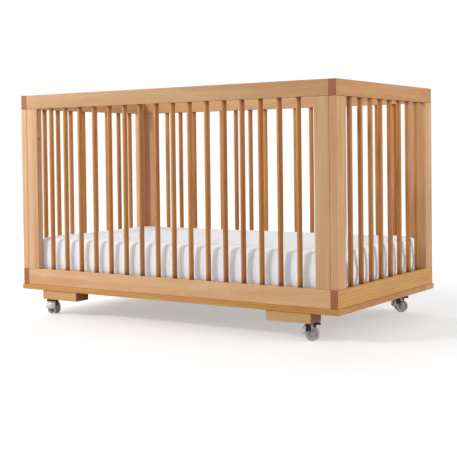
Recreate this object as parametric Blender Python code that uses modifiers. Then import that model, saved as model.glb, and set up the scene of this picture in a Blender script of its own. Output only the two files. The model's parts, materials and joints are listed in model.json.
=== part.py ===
"""A slatted baby crib on four twin-wheel casters, with a mattress.

Metres, +Z up. The origin is on the floor under the middle of the crib. X runs along the length,
and -Y is the front. Every piece is its own object.
"""

from math import ceil, cos, pi, radians, sin, tan

import bmesh
import bpy
from mathutils import Matrix, Vector

# Overall frame
LENGTH = 1.390  # over the end frames
DEPTH = 0.765  # over the front and back frames
BOARD = 0.027  # thickness of every rail and stile
TOP_RAIL_HEIGHT = 0.054
BOTTOM_RAIL_HEIGHT = 0.0615
STILE_LENGTH = 0.6209  # between the rails
LONG_STILE_WIDTH = 0.0552  # the stile of the front and back frames
END_STILE_WIDTH = 0.059  # the stile of the end frames
BOARD_ROUND = 0.0015  # eased edges

# Slats
SLAT_DIAMETER = 0.018
WIDEST_SLAT_GAP = 0.0585  # just under the 60 mm that safety rules allow
LONG_END_GAP = 0.055  # from the last slat to the stile, in the front and back frames
SHORT_END_GAP = 0.047  # the same in the end frames
SLAT_SIDES = 12
FILLET_MARGIN = 0.0005  # how far a fillet reaches past the slats on each side
FILLET_WIDTH = SLAT_DIAMETER + 2 * FILLET_MARGIN
FILLET_DEPTH = 0.0075
SLAT_SEAT = 0.004  # how far a slat enters its fillet strip

# Base
PLINTH_THICKNESS = 0.0197
PLINTH_WIDTH = 0.080
PLINTH_OVERHANG = 0.0035
FOOT_LENGTH = 0.172
FOOT_DEPTH = 0.070
FOOT_HEIGHT = 0.0337
FOOT_FROM_END = 0.101  # end of the crib to the end of the foot

# Mattress and what carries it
CLEAT_HEIGHT = 0.015
CLEAT_DEPTH = 0.025
CLEAT_END_CLEARANCE = 0.010
DECK_THICKNESS = 0.012
DECK_CLEARANCE = 0.004
VENT_RADIUS = 0.020
VENT_COLUMNS = 4
VENT_SPACING = 0.300
MATTRESS_THICKNESS = 0.148
MATTRESS_CLEARANCE = 0.009  # all round, to the frames
MATTRESS_LAY = 0.001  # clear of the deck
MATTRESS_CORNER = 0.045
MATTRESS_EDGE = 0.012

# Corner bolts
BOLT_ABOVE_STILE_FOOT = 0.505
BOLT_HEAD_RADIUS = 0.005
BOLT_HEAD_LENGTH = 0.006
BOLT_SHANK_RADIUS = 0.003
BOLT_SOCKET_RADIUS = 0.0026
BOLT_SOCKET_DEPTH = 0.003
BOLT_COUNTERBORE = 0.009
BOLT_IN_END_STILE = 0.018
BOLT_CLEARANCE = 0.0006

# Casters
CASTER_PLATE = 0.042
CASTER_PLATE_THICKNESS = 0.0025
CASTER_PLATE_CORNER = 0.005
CASTER_SCREW_SPACING = 0.030
CASTER_SCREW_RADIUS = 0.0022
CASTER_TRAIL = 0.006  # from the swivel axis to the wheel axle
WHEEL_RADIUS = 0.0235
WHEEL_TO_FOOT = 0.013
CASTER_HEIGHT = 2 * WHEEL_RADIUS + WHEEL_TO_FOOT  # floor to the underside of the foot
WHEEL_WIDTH = 0.0125
WHEEL_SIDES = 20
AXLE_RADIUS = 0.003
AXLE_SIDES = 16
FORK_THICKNESS = 0.009
FORK_TO_WHEEL = 0.001
KING_PIN_RADIUS = 0.004
COLLAR_RADIUS = 0.0085
COLLAR_INTO_FORK = 0.002  # how far the collar reaches down into the fork's web
FORK_HUB_RADIUS = 0.008
FORK_FRONT = 0.0085  # how far the fork's web reaches ahead of the swivel axis
FORK_BACK = 0.0190  # and behind it
TURN_CLEARANCE = 0.0004  # between turning faces

# Brake levers
LEVER_ROOT = 0.0110
LEVER_PIVOT = 0.0130
LEVER_TIP = 0.0338
LEVER_LIP = 0.0040
LEVER_THICKNESS = 0.0042
LEVER_WIDTH = 0.018
LEVER_PIN_RADIUS = 0.0012
LEVER_BELOW_PLATE = 0.0008
LEVER_SWING = 12  # degrees, down to where the brake holds
LUG_BACK = 0.0150
LUG_SLOT_BACK = 0.0170

GAP = 0.0003  # between two pieces that touch

# Heights, from the floor up
FOOT_Z = CASTER_HEIGHT
PLINTH_Z = FOOT_Z + FOOT_HEIGHT + GAP
BOTTOM_RAIL_Z = PLINTH_Z + PLINTH_THICKNESS + GAP
STILE_Z = BOTTOM_RAIL_Z + BOTTOM_RAIL_HEIGHT + GAP
TOP_RAIL_Z = STILE_Z + STILE_LENGTH + GAP
CLEAT_Z = PLINTH_Z + PLINTH_THICKNESS + GAP
DECK_Z = CLEAT_Z + CLEAT_HEIGHT + GAP
MATTRESS_Z = DECK_Z + DECK_THICKNESS + MATTRESS_LAY

# Clear widths between the stiles of one frame
LONG_OPENING = LENGTH - 2 * (BOARD + GAP + LONG_STILE_WIDTH)
END_OPENING = DEPTH - 2 * END_STILE_WIDTH
BOLT_TIP_X = LENGTH / 2 - BOARD + BOLT_IN_END_STILE

# Which way each caster trails, in degrees from +X, and whether it has a brake
CASTERS = {
    "front_right": (1, -1, 32, True),
    "back_right": (1, 1, 38, True),
    "front_left": (-1, -1, 107, False),
    "back_left": (-1, 1, 104, False),
}


def clear_scene():
    for obj in list(bpy.data.objects):
        bpy.data.objects.remove(obj, do_unlink=True)


def new_collection(name):
    collection = bpy.data.collections.new(name)
    bpy.context.scene.collection.children.link(collection)
    return collection


def new_material(name, colour, roughness, metallic=0.0):
    material = bpy.data.materials.new(name)
    material.use_nodes = True
    shader = material.node_tree.nodes["Principled BSDF"]
    shader.inputs["Base Color"].default_value = (*colour, 1.0)
    shader.inputs["Roughness"].default_value = roughness
    shader.inputs["Metallic"].default_value = metallic
    return material


def add_object(name, mesh, material=None, location=(0, 0, 0), parent=None):
    """A sub-part in the crib's collection, or a cutter if it has no material."""
    obj = bpy.data.objects.new(name, mesh)
    obj.location = location
    obj.parent = parent
    if material:
        mesh.materials.append(material)
        crib.objects.link(obj)
    else:
        obj.hide_render = True
        obj.display_type = "WIRE"
        cutters.objects.link(obj)
    return obj


def boxes_mesh(name, boxes):
    """One mesh of boxes, each given as (size, centre)."""
    shape = bmesh.new()
    for size, centre in boxes:
        place = Matrix.Translation(centre) @ Matrix.Diagonal((*size, 1.0))
        bmesh.ops.create_cube(shape, size=1.0, matrix=place)
    mesh = bpy.data.meshes.new(name)
    shape.to_mesh(mesh)
    shape.free()
    return mesh


def cylinders_mesh(name, radius, length, sides, centres, turn=Matrix.Identity(4)):
    """One mesh of cylinders along Z, turned together and then placed at the centres."""
    shape = bmesh.new()
    for centre in centres:
        bmesh.ops.create_cone(
            shape,
            cap_ends=True,
            segments=sides,
            radius1=radius,
            radius2=radius,
            depth=length,
            matrix=Matrix.Translation(centre) @ turn,
        )
    mesh = bpy.data.meshes.new(name)
    shape.to_mesh(mesh)
    shape.free()
    return mesh


def outline_mesh(name, points, thickness):
    """A flat outline in X and Z, filled and given its thickness along Y."""
    curve = bpy.data.curves.new(name, "CURVE")
    curve.dimensions = "2D"
    curve.fill_mode = "BOTH"
    curve.extrude = thickness / 2
    spline = curve.splines.new("POLY")
    spline.points.add(len(points) - 1)
    for point, (x, z) in zip(spline.points, points):
        point.co = (x, z, 0.0, 1.0)
    spline.use_cyclic_u = True
    guide = bpy.data.objects.new(name, curve)
    cutters.objects.link(guide)
    bpy.context.view_layer.update()
    evaluated = guide.evaluated_get(bpy.context.evaluated_depsgraph_get())
    mesh = bpy.data.meshes.new_from_object(evaluated)
    bpy.data.objects.remove(guide)
    shape = bmesh.new()
    shape.from_mesh(mesh)
    bmesh.ops.remove_doubles(shape, verts=shape.verts, dist=0.00001)
    stand_up = Matrix.Rotation(pi / 2, 3, "X")
    bmesh.ops.rotate(shape, verts=shape.verts, cent=(0, 0, 0), matrix=stand_up)
    bmesh.ops.recalc_face_normals(shape, faces=shape.faces)
    shape.to_mesh(mesh)
    shape.free()
    mesh.name = name
    return mesh


def bevel(obj, width, segments=1, angle=30):
    modifier = obj.modifiers.new("eased edges", "BEVEL")
    modifier.width = width
    modifier.segments = segments
    modifier.limit_method = "ANGLE"
    modifier.angle_limit = radians(angle)


def combine(obj, other, operation):
    modifier = obj.modifiers.new(operation.lower(), "BOOLEAN")
    modifier.operation = operation
    modifier.object = other
    modifier.solver = "EXACT"


def board(name, size, centre, material, ease=BOARD_ROUND):
    obj = add_object(name, boxes_mesh(name, [(size, (0, 0, 0))]), material, centre)
    bevel(obj, ease)
    return obj


def cut_box(obj, size, centre):
    """Cuts a box, given in world coordinates, out of a board."""
    cutter = add_object("cut_" + obj.name, boxes_mesh("cut", [(size, (0, 0, 0))]), None, centre)
    combine(obj, cutter, "DIFFERENCE")


def slat_layout(opening, end_gap):
    """(number, pitch) of evenly spaced slats that leave no gap wider than the widest allowed."""
    span = opening - 2 * end_gap - SLAT_DIAMETER
    spaces = ceil(span / (SLAT_DIAMETER + WIDEST_SLAT_GAP))
    return spaces + 1, span / spaces


def make_rails():
    """Four top and four bottom rails. The end rails run the full depth and the long rails butt
    between them. Each has a stopped groove for its fillet strips."""
    long_size = LENGTH - 2 * (BOARD + GAP)
    groove_width = FILLET_WIDTH + 2 * GAP
    groove_depth = FILLET_DEPTH + GAP
    for level, z, height, groove_z in (
        ("top", TOP_RAIL_Z, TOP_RAIL_HEIGHT, TOP_RAIL_Z),
        ("bottom", BOTTOM_RAIL_Z, BOTTOM_RAIL_HEIGHT, BOTTOM_RAIL_Z + BOTTOM_RAIL_HEIGHT),
    ):
        middle = z + height / 2
        for side, sign in (("front", -1), ("back", 1)):
            y = sign * (DEPTH - BOARD) / 2
            rail = board(f"{side}_{level}_rail", (long_size, BOARD, height), (0, y, middle), wood)
            cut_box(rail, (LONG_OPENING, groove_width, 2 * groove_depth), (0, y, groove_z))
        for side, sign in (("left", -1), ("right", 1)):
            x = sign * (LENGTH - BOARD) / 2
            rail = board(f"{side}_{level}_rail", (BOARD, DEPTH, height), (x, 0, middle), wood)
            cut_box(rail, (groove_width, END_OPENING, 2 * groove_depth), (x, 0, groove_z))


def make_corners():
    """Each corner post is two stiles, joined by one bolt that runs along X through both."""
    stile_middle = STILE_Z + STILE_LENGTH / 2
    bolt_z = STILE_Z + BOLT_ABOVE_STILE_FOOT
    inner_edge = LENGTH / 2 - BOARD - GAP - LONG_STILE_WIDTH
    bore_length = 2 * (BOLT_TIP_X + BOLT_CLEARANCE - inner_edge)
    along_x = Matrix.Rotation(pi / 2, 4, "Y")
    for side_x, sign_x in (("left", -1), ("right", 1)):
        for side_y, sign_y in (("front", -1), ("back", 1)):
            corner = f"{side_y}_{side_x}"
            long_y = sign_y * (DEPTH - BOARD) / 2
            long_size = (LONG_STILE_WIDTH, BOARD, STILE_LENGTH)
            long_place = (sign_x * (inner_edge + LONG_STILE_WIDTH / 2), long_y, stile_middle)
            long_stile = board(f"{corner}_long_stile", long_size, long_place, wood)
            end_size = (BOARD, END_STILE_WIDTH, STILE_LENGTH)
            end_place = (sign_x * (LENGTH - BOARD) / 2, sign_y * (DEPTH - END_STILE_WIDTH) / 2, stile_middle)
            end_stile = board(f"{corner}_end_stile", end_size, end_place, wood)

            # A counterbore, then a clearance hole through the first stile and into the second.
            mouth = (sign_x * inner_edge, long_y, bolt_z)
            bore_radius = BOLT_SHANK_RADIUS + BOLT_CLEARANCE
            bore_mesh = cylinders_mesh("bore", bore_radius, bore_length, 12, [(0, 0, 0)], along_x)
            bore = add_object(f"bore_{corner}", bore_mesh, location=mouth)
            sink_radius = BOLT_HEAD_RADIUS + BOLT_CLEARANCE
            sink_mesh = cylinders_mesh("sink", sink_radius, 2 * BOLT_COUNTERBORE, 12, [(0, 0, 0)], along_x)
            sink = add_object(f"sink_{corner}", sink_mesh, location=mouth)
            combine(long_stile, bore, "DIFFERENCE")
            combine(long_stile, sink, "DIFFERENCE")
            combine(end_stile, bore, "DIFFERENCE")
            make_bolt(corner, sign_x, inner_edge, long_y, bolt_z, along_x)


def make_bolt(corner, sign, inner_edge, y, z, along_x):
    """A socket-head bolt whose head sits at the bottom of the counterbore."""
    seat = inner_edge + BOLT_COUNTERBORE - GAP
    head_x = sign * (seat - BOLT_HEAD_LENGTH / 2)
    head = cylinders_mesh("bolt_head", BOLT_HEAD_RADIUS, BOLT_HEAD_LENGTH, 12, [(0, 0, 0)], along_x)
    bolt = add_object(f"{corner}_corner_bolt", head, steel, (head_x, y, z))
    shank_length = BOLT_TIP_X - seat + BOLT_HEAD_LENGTH / 2
    shank_x = sign * (BOLT_TIP_X - shank_length / 2)
    shank_mesh = cylinders_mesh("shank", BOLT_SHANK_RADIUS, shank_length, 12, [(0, 0, 0)], along_x)
    socket_x = sign * (seat - BOLT_HEAD_LENGTH)
    socket_mesh = cylinders_mesh("socket", BOLT_SOCKET_RADIUS, 2 * BOLT_SOCKET_DEPTH, 6, [(0, 0, 0)], along_x)
    combine(bolt, add_object(f"shank_{corner}", shank_mesh, location=(shank_x, y, z)), "UNION")
    combine(bolt, add_object(f"socket_{corner}", socket_mesh, location=(socket_x, y, z)), "DIFFERENCE")


def slat_bank(name, places, strip_from, strip_to, along_x, side):
    """Slats on one centre line with the fillet strips that space them, top and bottom.

    places are the slats' positions along the rail, and side is the centre line's other coordinate.
    """
    foot = STILE_Z - GAP
    head = TOP_RAIL_Z
    length = strip_to - strip_from
    centre = (strip_from + strip_to) / 2
    strips = []
    for z in (foot - FILLET_DEPTH / 2, head + FILLET_DEPTH / 2):
        if along_x:
            strips.append(((length, FILLET_WIDTH, FILLET_DEPTH), (centre, side, z)))
        else:
            strips.append(((FILLET_WIDTH, length, FILLET_DEPTH), (side, centre, z)))
    bank = add_object(name, boxes_mesh(name, strips), wood)
    middle = (foot + head) / 2
    centres = [(place, side, middle) if along_x else (side, place, middle) for place in places]
    slat_length = head - foot + 2 * SLAT_SEAT
    slats_mesh = cylinders_mesh("slats", SLAT_DIAMETER / 2, slat_length, SLAT_SIDES, centres)
    combine(bank, add_object(f"slats_of_{name}", slats_mesh), "UNION")


def make_slats():
    """The slats of each long side, as two banks that meet in the middle, and those of each end."""
    count, pitch = slat_layout(LONG_OPENING, LONG_END_GAP)
    places = [(i - (count - 1) / 2) * pitch for i in range(count)]
    edge = LONG_OPENING / 2 - GAP
    # The two strips meet half-way between the two slats in the middle.
    first_half = count // 2
    join = (places[first_half - 1] + places[first_half]) / 2
    for side, sign in (("front", -1), ("back", 1)):
        y = sign * (DEPTH - BOARD) / 2
        slat_bank(f"{side}_left_slats", places[:first_half], -edge, join - GAP / 2, True, y)
        slat_bank(f"{side}_right_slats", places[first_half:], join + GAP / 2, edge, True, y)

    count, pitch = slat_layout(END_OPENING, SHORT_END_GAP)
    places = [(i - (count - 1) / 2) * pitch for i in range(count)]
    edge = END_OPENING / 2 - GAP
    for side, sign in (("left", -1), ("right", 1)):
        x = sign * (LENGTH - BOARD) / 2
        slat_bank(f"{side}_end_slats", places, -edge, edge, False, x)


def make_base():
    """A plinth of four boards under the rails, and four feet that carry the casters."""
    outer_x = LENGTH / 2 + PLINTH_OVERHANG
    outer_y = DEPTH / 2 + PLINTH_OVERHANG
    z = PLINTH_Z + PLINTH_THICKNESS / 2
    for side, sign in (("front", -1), ("back", 1)):
        y = sign * (outer_y - PLINTH_WIDTH / 2)
        board(f"{side}_plinth_board", (2 * outer_x, PLINTH_WIDTH, PLINTH_THICKNESS), (0, y, z), wood)
    end_length = 2 * (outer_y - PLINTH_WIDTH - GAP)
    for side, sign in (("left", -1), ("right", 1)):
        x = sign * (outer_x - PLINTH_WIDTH / 2)
        board(f"{side}_plinth_board", (PLINTH_WIDTH, end_length, PLINTH_THICKNESS), (x, 0, z), wood)

    foot_x = LENGTH / 2 - FOOT_FROM_END - FOOT_LENGTH / 2
    foot_y = (DEPTH - FOOT_DEPTH) / 2
    for corner, (sign_x, sign_y, _, _) in CASTERS.items():
        place = (sign_x * foot_x, sign_y * foot_y, FOOT_Z + FOOT_HEIGHT / 2)
        board(f"{corner}_foot", (FOOT_LENGTH, FOOT_DEPTH, FOOT_HEIGHT), place, wood)


def make_bed():
    """Two cleats on the plinth, the deck that lies on them, and the mattress."""
    cleat_length = LENGTH - 2 * (BOARD + CLEAT_END_CLEARANCE)
    for side, sign in (("front", -1), ("back", 1)):
        y = sign * (DEPTH / 2 - BOARD - GAP - CLEAT_DEPTH / 2)
        place = (0, y, CLEAT_Z + CLEAT_HEIGHT / 2)
        board(f"{side}_support_cleat", (cleat_length, CLEAT_DEPTH, CLEAT_HEIGHT), place, wood)

    deck_x = LENGTH - 2 * (BOARD + DECK_CLEARANCE)
    deck_y = DEPTH - 2 * (BOARD + DECK_CLEARANCE)
    deck_z = DECK_Z + DECK_THICKNESS / 2
    deck = board("mattress_deck", (deck_x, deck_y, DECK_THICKNESS), (0, 0, deck_z), plywood)
    vents = [
        ((column - (VENT_COLUMNS - 1) / 2) * VENT_SPACING, row * VENT_SPACING / 2, 0)
        for column in range(VENT_COLUMNS)
        for row in (-1, 1)
    ]
    vents_mesh = cylinders_mesh("vents", VENT_RADIUS, 2 * DECK_THICKNESS, 12, vents)
    combine(deck, add_object("vents", vents_mesh, location=(0, 0, deck_z)), "DIFFERENCE")

    inset = BOARD + MATTRESS_CLEARANCE
    size = (LENGTH - 2 * inset, DEPTH - 2 * inset, MATTRESS_THICKNESS)
    shape = bmesh.new()
    bmesh.ops.create_cube(shape, size=1.0, matrix=Matrix.Diagonal((*size, 1.0)))
    upright = [e for e in shape.edges if abs(e.verts[0].co.z - e.verts[1].co.z) > size[2] / 2]
    bmesh.ops.bevel(shape, geom=upright, offset=MATTRESS_CORNER, segments=4, profile=0.5, affect="EDGES")
    mesh = bpy.data.meshes.new("mattress")
    shape.to_mesh(mesh)
    shape.free()
    mattress = add_object("mattress", mesh, fabric, (0, 0, MATTRESS_Z + MATTRESS_THICKNESS / 2))
    bevel(mattress, MATTRESS_EDGE, 2, 60)


def make_wheel_mesh():
    """A dished wheel, turned about Z, with its inner face at z = 0 and its bore clear of the axle."""
    bore = (AXLE_RADIUS + TURN_CLEARANCE) / cos(pi / AXLE_SIDES)
    rim = WHEEL_RADIUS
    face = WHEEL_WIDTH
    profile = [
        (bore, 0.0005),
        (bore, face - 0.001),
        (0.0080, face - 0.001),
        (0.0095, face - 0.004),
        (rim - 0.0070, face - 0.004),
        (rim - 0.0055, face),
        (rim - 0.0020, face),
        (rim, face - 0.0025),
        (rim, 0.0020),
        (rim - 0.0025, 0.0),
        (rim - 0.0070, 0.0020),
        (0.0090, 0.0005),
    ]
    mesh = bpy.data.meshes.new("wheel")
    edges = [(i, (i + 1) % len(profile)) for i in range(len(profile))]
    mesh.from_pydata([(radius, 0, z) for radius, z in profile], edges, [])
    return mesh


def make_plate(corner, pivot):
    """The caster's fixed plate, with its screw holes and the hole for the king pin."""
    z = -GAP - CASTER_PLATE_THICKNESS / 2
    shape = bmesh.new()
    size = (CASTER_PLATE, CASTER_PLATE, CASTER_PLATE_THICKNESS)
    bmesh.ops.create_cube(shape, size=1.0, matrix=Matrix.Diagonal((*size, 1.0)))
    upright = [e for e in shape.edges if abs(e.verts[0].co.z - e.verts[1].co.z) > size[2] / 2]
    bmesh.ops.bevel(shape, geom=upright, offset=CASTER_PLATE_CORNER, segments=3, profile=0.5, affect="EDGES")
    mesh = bpy.data.meshes.new("plate")
    shape.to_mesh(mesh)
    shape.free()
    place = pivot + Vector((0, 0, z))
    plate = add_object(f"{corner}_caster_plate", mesh, black_steel, place)
    half = CASTER_SCREW_SPACING / 2
    holes = [(x, y, 0) for x in (-half, half) for y in (-half, half)]
    deep = 3 * CASTER_PLATE_THICKNESS
    screws_mesh = cylinders_mesh("screws", CASTER_SCREW_RADIUS, deep, 8, holes)
    combine(plate, add_object(f"screws_{corner}", screws_mesh, location=place), "DIFFERENCE")
    pin_hole_mesh = cylinders_mesh("pin_hole", KING_PIN_RADIUS + 2 * TURN_CLEARANCE, deep, 12, [(0, 0, 0)])
    combine(plate, add_object(f"pin_hole_{corner}", pin_hole_mesh, location=place), "DIFFERENCE")


def fork_outline(axle_z, web_top, lug_top, braked):
    """The fork's web in X and Z: a tapering arm from the collar down round the axle."""
    steps = 6
    start = radians(-170)
    finish = radians(20)
    hub = []
    for i in range(steps + 1):
        angle = start + (finish - start) * i / steps
        hub.append((CASTER_TRAIL + FORK_HUB_RADIUS * cos(angle), axle_z + FORK_HUB_RADIUS * sin(angle)))
    lower_front = axle_z + WHEEL_RADIUS * 0.45
    points = [(-FORK_FRONT, web_top), (-FORK_FRONT, lower_front), *hub]
    swing_room = (FORK_BACK - LEVER_PIVOT) * tan(radians(LEVER_SWING))
    points.append((FORK_BACK, web_top - swing_room))
    if braked:
        points += [(LUG_BACK, web_top), (LUG_BACK, lug_top), (LEVER_ROOT, lug_top), (LEVER_ROOT, web_top)]
    return points


def make_caster(corner, sign_x, sign_y, yaw, braked, wheel_mesh):
    """One twin-wheel caster. Its empty stands on the swivel axis with +X along the trail."""
    x = sign_x * (LENGTH / 2 - FOOT_FROM_END - CASTER_PLATE / 2)
    y = sign_y * (DEPTH - FOOT_DEPTH) / 2
    pivot = Vector((x, y, CASTER_HEIGHT))
    swivel = bpy.data.objects.new(f"{corner}_swivel_axis", None)
    swivel.location = pivot
    swivel.rotation_euler = (0, 0, radians(yaw))
    crib.objects.link(swivel)
    make_plate(corner, pivot)

    plate_bottom = -GAP - CASTER_PLATE_THICKNESS
    collar_top = plate_bottom - TURN_CLEARANCE
    axle_z = WHEEL_RADIUS - CASTER_HEIGHT
    lever_top = plate_bottom - LEVER_BELOW_PLATE
    lever_bottom = lever_top - LEVER_THICKNESS
    web_top = lever_bottom - 2 * TURN_CLEARANCE
    across = Matrix.Rotation(pi / 2, 4, "X")

    outline = fork_outline(axle_z, web_top, lever_top, braked)
    fork_mesh = outline_mesh("fork", outline, FORK_THICKNESS)
    fork = add_object(f"{corner}_caster_fork", fork_mesh, black_plastic, parent=swivel)
    collar_length = collar_top - web_top + COLLAR_INTO_FORK
    collar_centre = (0, 0, collar_top - collar_length / 2)
    pin_top = -2 * GAP
    pin_length = pin_top - collar_top + collar_length / 2
    pin_centre = (0, 0, pin_top - pin_length / 2)
    upright = Matrix.Identity(4)
    joined = [
        ("collar", COLLAR_RADIUS, collar_length, 12, collar_centre, upright),
        ("king_pin", KING_PIN_RADIUS, pin_length, 12, pin_centre, upright),
    ]
    if braked:
        lever_pin_centre = (LEVER_PIVOT, 0, (lever_top + lever_bottom) / 2)
        lever_pin_length = LEVER_WIDTH - 2 * GAP
        joined.append(("lever_pin", LEVER_PIN_RADIUS, lever_pin_length, 8, lever_pin_centre, across))
    for kind, radius, length, sides, centre, turn in joined:
        mesh = cylinders_mesh(kind, radius, length, sides, [(0, 0, 0)], turn)
        combine(fork, add_object(f"{kind}_{corner}", mesh, None, centre, swivel), "UNION")
    bore_radius = AXLE_RADIUS / cos(pi / AXLE_SIDES) + GAP
    bore_mesh = cylinders_mesh("axle_bore", bore_radius, 2 * FORK_THICKNESS, AXLE_SIDES, [(0, 0, 0)], across)
    bore = add_object(f"axle_bore_{corner}", bore_mesh, None, (CASTER_TRAIL, 0, axle_z), swivel)
    combine(fork, bore, "DIFFERENCE")

    wheel_face = FORK_THICKNESS / 2 + FORK_TO_WHEEL
    axle_length = 2 * (wheel_face + WHEEL_WIDTH)
    axle_mesh = cylinders_mesh("axle", AXLE_RADIUS, axle_length, AXLE_SIDES, [(0, 0, 0)], across)
    add_object(f"{corner}_caster_axle", axle_mesh, steel, (CASTER_TRAIL, 0, axle_z), swivel)

    for side, sign in (("left", 1), ("right", -1)):
        place = (CASTER_TRAIL, sign * wheel_face, axle_z)
        wheel = add_object(f"{corner}_{side}_wheel", wheel_mesh.copy(), clear_plastic, place, swivel)
        wheel.rotation_euler = (-sign * pi / 2, 0, 0)
        turned = wheel.modifiers.new("turned", "SCREW")
        turned.steps = WHEEL_SIDES
        turned.render_steps = WHEEL_SIDES
        turned.merge_threshold = 0.00001
        turned.use_merge_vertices = True

    if braked:
        make_lever(corner, swivel, lever_top, lever_bottom, across)


def make_lever(corner, swivel, top, bottom, across):
    """A pedal that pivots on the fork's pin and straddles its lug. It is up, with the brake off."""
    pivot_z = (top + bottom) / 2
    lip_top = -4 * GAP
    points = [
        (LEVER_ROOT, top),
        (LEVER_TIP - 1.6 * LEVER_LIP, top),
        (LEVER_TIP - LEVER_LIP, lip_top),
        (LEVER_TIP, lip_top),
        (LEVER_TIP - 0.001, bottom),
        (LEVER_ROOT, bottom),
    ]
    points = [(px - LEVER_PIVOT, pz - pivot_z) for px, pz in points]
    place = (LEVER_PIVOT, 0, pivot_z)
    lever_mesh = outline_mesh("lever", points, LEVER_WIDTH)
    lever = add_object(f"{corner}_brake_lever", lever_mesh, black_plastic, place, swivel)
    slot_from = LEVER_ROOT - LEVER_THICKNESS / 2
    slot_size = (LUG_SLOT_BACK - slot_from, FORK_THICKNESS + 2 * TURN_CLEARANCE, 2 * LEVER_THICKNESS)
    slot_centre = ((slot_from + LUG_SLOT_BACK) / 2, 0, pivot_z)
    slot_mesh = boxes_mesh("slot", [(slot_size, (0, 0, 0))])
    slot = add_object(f"slot_{corner}", slot_mesh, None, slot_centre, swivel)
    hole_mesh = cylinders_mesh("pin_hole", LEVER_PIN_RADIUS + GAP, 2 * LEVER_WIDTH, 12, [(0, 0, 0)], across)
    hole = add_object(f"lever_hole_{corner}", hole_mesh, None, place, swivel)
    combine(lever, slot, "DIFFERENCE")
    combine(lever, hole, "DIFFERENCE")


clear_scene()
crib = new_collection("baby_crib")
cutters = new_collection("cutters")
cutters.hide_render = True

wood = new_material("honey wood", (0.58, 0.33, 0.16), 0.45)
plywood = new_material("plywood", (0.66, 0.47, 0.28), 0.6)
fabric = new_material("white cotton", (0.85, 0.85, 0.84), 0.9)
steel = new_material("bright steel", (0.6, 0.6, 0.6), 0.3, 1.0)
black_steel = new_material("black steel", (0.05, 0.05, 0.05), 0.4, 0.8)
black_plastic = new_material("black plastic", (0.03, 0.03, 0.03), 0.45)
clear_plastic = new_material("clear plastic", (0.75, 0.76, 0.77), 0.1)

make_rails()
make_corners()
make_slats()
make_base()
make_bed()
wheel_profile = make_wheel_mesh()
for caster_corner, (along, across_side, heading, has_brake) in CASTERS.items():
    make_caster(caster_corner, along, across_side, heading, has_brake, wheel_profile)
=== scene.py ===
import json
import math

import bmesh
import bpy
import numpy as np
from mathutils import Matrix, Vector


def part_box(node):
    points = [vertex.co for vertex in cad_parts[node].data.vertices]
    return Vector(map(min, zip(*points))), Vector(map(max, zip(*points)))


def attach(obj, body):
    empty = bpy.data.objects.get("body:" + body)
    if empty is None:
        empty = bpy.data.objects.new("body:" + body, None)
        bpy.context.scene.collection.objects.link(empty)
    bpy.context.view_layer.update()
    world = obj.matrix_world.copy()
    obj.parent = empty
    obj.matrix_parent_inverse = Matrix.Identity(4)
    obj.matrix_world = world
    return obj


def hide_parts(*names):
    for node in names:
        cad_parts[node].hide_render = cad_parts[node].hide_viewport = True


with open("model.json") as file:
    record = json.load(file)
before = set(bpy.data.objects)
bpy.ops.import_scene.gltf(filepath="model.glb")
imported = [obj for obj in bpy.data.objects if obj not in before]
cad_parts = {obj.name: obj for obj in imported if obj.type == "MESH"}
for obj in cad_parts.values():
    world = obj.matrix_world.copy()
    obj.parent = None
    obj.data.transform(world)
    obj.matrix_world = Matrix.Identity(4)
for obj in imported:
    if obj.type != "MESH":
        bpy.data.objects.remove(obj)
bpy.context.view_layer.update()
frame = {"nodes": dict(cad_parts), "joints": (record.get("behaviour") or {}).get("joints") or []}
print("frame loaded,", len(frame["nodes"]), "nodes")

pointMerge = 1e-6  # points closer than this are one


# Mesh helpers

def newMesh(name, points, faces):
    mesh = bpy.data.meshes.new(name)
    mesh.from_pydata(np.asarray(points, float).tolist(), [], faces.tolist())
    mesh.update()
    return mesh


def addPiece(name, mesh, material, body, nodes=()):
    piece = bpy.data.objects.new(name, mesh)
    bpy.context.scene.collection.objects.link(piece)
    mesh.materials.append(material)
    mesh.shade_smooth()
    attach(piece, body)
    if nodes:
        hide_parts(*nodes)
    return piece


def keepFlats(piece):
    # flat faces stay flat to the eye and only the rounded edges shade smoothly
    weighted = piece.modifiers.new("flat faces", "WEIGHTED_NORMAL")
    weighted.mode = "FACE_AREA"
    weighted.weight = 100
    return piece


def joined(shapes):
    # several (points, quads) as one
    points, faces, start = [], [], 0
    for shapePoints, shapeFaces in shapes:
        points.append(shapePoints)
        faces.append(shapeFaces + start)
        start += len(shapePoints)
    return np.concatenate(points), np.concatenate(faces)


def gridFaces(rows, columns):
    # quads of a grid whose points run row by row, closed round in the column direction
    i, j = np.meshgrid(np.arange(rows - 1), np.arange(columns), indexing="ij")
    k = (j + 1) % columns
    below, above = i * columns, (i + 1) * columns
    return np.stack([below + j, below + k, above + k, above + j], -1).reshape(-1, 4)


def unit(vectors):
    return vectors / np.maximum(np.linalg.norm(vectors, axis=1), 1e-9)[:, None]


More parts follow.
